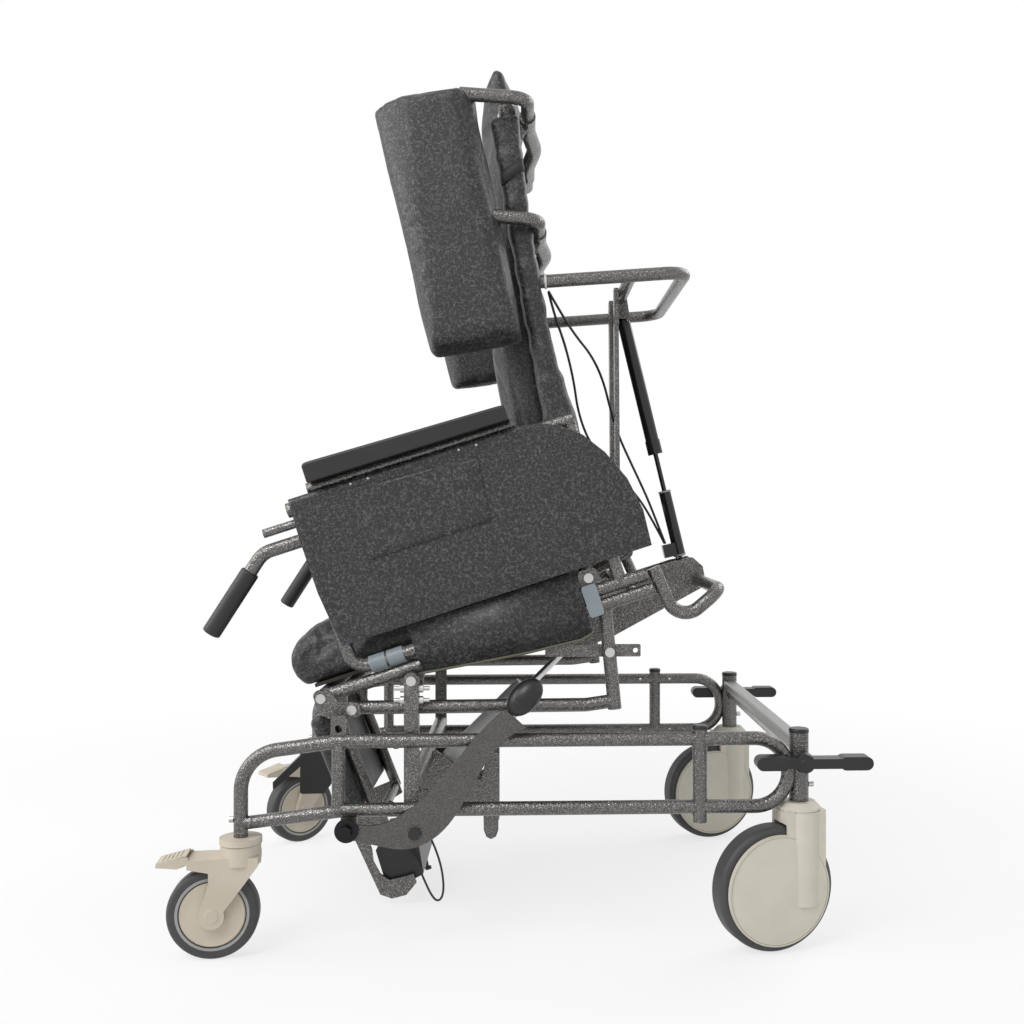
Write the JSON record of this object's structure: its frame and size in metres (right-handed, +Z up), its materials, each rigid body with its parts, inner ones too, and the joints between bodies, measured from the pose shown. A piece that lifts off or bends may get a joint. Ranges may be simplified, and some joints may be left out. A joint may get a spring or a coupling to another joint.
{
  "type": "tilt in space wheelchair",
  "caption": "High-backed reclining wheelchair seat with side wings, arm rests, leg rest and push bar, tilting in space on a low tube base with braked casters.",
  "frame": {"origin": "centre of the bounding box at floor level", "axes": "+X towards the rear of the chair, -Y towards the occupant's left, +Z up"},
  "size_m": [1.0084, 0.6975, 1.317],
  "materials": {
    "frame_steel": "textured dark grey powder coat",
    "lever_steel": "textured brown grey powder coat",
    "bright_steel": "zinc plated",
    "crossbar_steel": "brushed, slightly dull",
    "spring_grey": "satin light grey paint",
    "spring_black": "gloss black paint",
    "vinyl": "charcoal vinyl with a fine crackle grain",
    "board": "plain plywood",
    "caster_plastic": "beige moulded plastic",
    "caster_tyre": "soft grey rubber tread",
    "black_plastic": "smooth black plastic",
    "black_rubber": "black rubber grip",
    "clip_plastic": "blue grey plastic",
    "cable_jacket": "black cable jacket"
  },
  "bodies": {
    "base": {"base_frame_near": "frame_steel", "base_frame_far": "frame_steel", "base_cross_tube": "frame_steel", "base_rear_crossbar": "crossbar_steel", "base_caps": "black_plastic", "base_screws": "bright_steel", "side_lever_bolt": "bright_steel"},
    "front_caster_near": {"front_fork_near": "caster_plastic"},
    "front_caster_far": {"front_fork_far": "caster_plastic"},
    "front_wheel_near": {"front_tyre_near": "caster_tyre", "front_hub_near": "caster_plastic"},
    "front_wheel_far": {"front_tyre_far": "caster_tyre", "front_hub_far": "caster_plastic"},
    "front_brake_near": {"front_pedal_near": "black_plastic"},
    "front_brake_far": {"front_pedal_far": "black_plastic"},
    "rear_caster_near": {"rear_housing_near": "caster_plastic"},
    "rear_caster_far": {"rear_housing_far": "caster_plastic"},
    "rear_roller_near": {"rear_wheel_near": "caster_tyre"},
    "rear_roller_far": {"rear_wheel_far": "caster_tyre"},
    "lock": {"lock_shaft": "bright_steel", "lock_pedals": "black_plastic"},
    "side_lever": {"side_lever_arm": "lever_steel", "side_lever_knob": "black_plastic", "side_lever_roller": "black_plastic"},
    "seat": {"seat_frame": "frame_steel", "seat_cradle_tubes": "frame_steel", "seat_link_plates": "frame_steel", "seat_rear_bumper": "frame_steel", "seat_spine": "frame_steel", "seat_board": "board", "seat_cushion": "vinyl", "seat_rail_clips": "clip_plastic", "seat_skirts": "vinyl", "seat_bolts": "bright_steel", "arm_frames": "frame_steel", "arm_tubes": "frame_steel", "arm_pads": "vinyl"},
    "handle_near": {"front_handle_near": "frame_steel", "front_grip_near": "black_rubber"},
    "handle_far": {"front_handle_far": "frame_steel", "front_grip_far": "black_rubber"},
    "back": {"back_frame": "frame_steel", "back_braces": "frame_steel", "back_post_covers": "vinyl", "back_cushion": "vinyl", "hoop_tubes": "frame_steel", "release_cables": "cable_jacket"},
    "wing_near": {"wing_arms_near": "frame_steel", "wing_pad_near": "vinyl"},
    "wing_far": {"wing_arms_far": "frame_steel", "wing_pad_far": "vinyl"},
    "tilt_cylinder": {"tilt_spring_cylinder": "spring_grey"},
    "tilt_rod": {"tilt_spring_rod": "spring_grey"},
    "recline_cylinder": {"recline_spring_cylinder": "spring_black"},
    "recline_rod": {"recline_spring_rod": "spring_black"},
    "leg_rest": {"leg_rest_frame": "frame_steel", "calf_pad": "vinyl", "heel_bracket": "black_plastic", "leg_rest_cable": "cable_jacket"},
    "foot_block": {"foot_block": "black_plastic"}
  },
  "joints": [
    {"name": "front_swivel_near", "type": "hinge", "parent": "base", "child": "front_caster_near", "pos_m": [-0.391, -0.305, 0.14], "axis": [0, 0, 1], "continuous": true},
    {"name": "front_swivel_far", "type": "hinge", "parent": "base", "child": "front_caster_far", "pos_m": [-0.391, 0.305, 0.14], "axis": [0, 0, 1], "continuous": true},
    {"name": "front_roll_near", "type": "hinge", "parent": "front_caster_near", "child": "front_wheel_near", "pos_m": [-0.4278, -0.30887, 0.0635], "axis": [-0.1045, 0.9945, 0], "continuous": true},
    {"name": "front_roll_far", "type": "hinge", "parent": "front_caster_far", "child": "front_wheel_far", "pos_m": [-0.42016, 0.28222, 0.0635], "axis": [-0.6157, 0.788, 0], "continuous": true},
    {"name": "front_brake_press_near", "type": "hinge", "parent": "front_caster_near", "child": "front_brake_near", "pos_m": [-0.46658, -0.31294, 0.141], "axis": [-0.1045, 0.9945, 0], "range_deg": [-8, 0], "stiffness_Nm_per_rad": 0.6},
    {"name": "front_brake_press_far", "type": "hinge", "parent": "front_caster_far", "child": "front_brake_far", "pos_m": [-0.45089, 0.25821, 0.141], "axis": [-0.6157, 0.788, 0], "range_deg": [-8, 0], "stiffness_Nm_per_rad": 0.6},
    {"name": "rear_swivel_near", "type": "hinge", "parent": "base", "child": "rear_caster_near", "pos_m": [0.4065, -0.297, 0.15], "axis": [0, 0, 1], "continuous": true},
    {"name": "rear_swivel_far", "type": "hinge", "parent": "base", "child": "rear_caster_far", "pos_m": [0.4065, 0.297, 0.15], "axis": [0, 0, 1], "continuous": true},
    {"name": "rear_roll_near", "type": "hinge", "parent": "rear_caster_near", "child": "rear_roller_near", "pos_m": [0.36517, -0.30885, 0.089], "axis": [-0.2756, 0.9613, 0], "continuous": true},
    {"name": "rear_roll_far", "type": "hinge", "parent": "rear_caster_far", "child": "rear_roller_far", "pos_m": [0.36517, 0.28515, 0.089], "axis": [-0.2756, 0.9613, 0], "continuous": true},
    {"name": "lock_turn", "type": "hinge", "parent": "base", "child": "lock", "pos_m": [0.4065, 0, 0.271], "axis": [0, 1, 0], "range_deg": [-15, 15]},
    {"name": "side_lever_turn", "type": "hinge", "parent": "base", "child": "side_lever", "pos_m": [-0.239, -0.325, 0.1805], "axis": [0, 1, 0], "range_deg": [0, 8]},
    {"name": "seat_tilt", "type": "hinge", "parent": "base", "child": "seat", "pos_m": [-0.152, 0, 0.385], "axis": [0, 1, 0], "range_deg": [0, 40]},
    {"name": "handle_swing_near", "type": "hinge", "parent": "seat", "child": "handle_near", "pos_m": [-0.3051, -0.268, 0.5876], "axis": [-0.9511, 0, -0.309], "range_deg": [0, 90]},
    {"name": "handle_swing_far", "type": "hinge", "parent": "seat", "child": "handle_far", "pos_m": [-0.3051, 0.268, 0.5876], "axis": [0.9511, 0, 0.309], "range_deg": [0, 90]},
    {"name": "back_recline", "type": "hinge", "parent": "seat", "child": "back", "pos_m": [0.103, 0, 0.53], "axis": [0, 1, 0], "range_deg": [0, 21], "deforming": ["release_cables"]},
    {"name": "wing_width_near", "type": "slide", "parent": "back", "child": "wing_near", "axis": [0, -1, 0], "range_m": [0, 0.03]},
    {"name": "wing_width_far", "type": "slide", "parent": "back", "child": "wing_far", "axis": [0, 1, 0], "range_m": [0, 0.03]},
    {"name": "tilt_spring_swing", "type": "hinge", "parent": "base", "child": "tilt_cylinder", "pos_m": [-0.153, 0, 0.166], "axis": [0, 1, 0], "range_deg": [0, 24.8]},
    {"name": "tilt_spring_stroke", "type": "slide", "parent": "tilt_cylinder", "child": "tilt_rod", "axis": [0.7111, 0, 0.7031], "range_m": [-0.126, 0]},
    {"name": "recline_spring_swing", "type": "hinge", "parent": "back", "child": "recline_cylinder", "pos_m": [0.1735, 0, 0.959], "axis": [0, 1, 0], "range_deg": [-0.6, 0]},
    {"name": "recline_spring_stroke", "type": "slide", "parent": "recline_cylinder", "child": "recline_rod", "axis": [-0.2348, 0, 0.972], "range_m": [0, 0.0635]},
    {"name": "leg_rest_raise", "type": "hinge", "parent": "seat", "child": "leg_rest", "pos_m": [-0.28218, 0, 0.35848], "axis": [0, 1, 0], "range_deg": [0, 70]},
    {"name": "foot_block_fold", "type": "hinge", "parent": "leg_rest", "child": "foot_block", "pos_m": [-0.1828, 0, 0.0405], "axis": [0, 1, 0], "range_deg": [-70, 0]}
  ],
  "couplings": [
    {"joint": "tilt_spring_swing", "follows": "seat_tilt", "ratio": 0.6157},
    {"joint": "tilt_spring_stroke", "follows": "seat_tilt", "m_per_rad": -0.1784},
    {"joint": "recline_spring_swing", "follows": "back_recline", "ratio": -0.026},
    {"joint": "recline_spring_stroke", "follows": "back_recline", "m_per_rad": 0.1714}
  ]
}
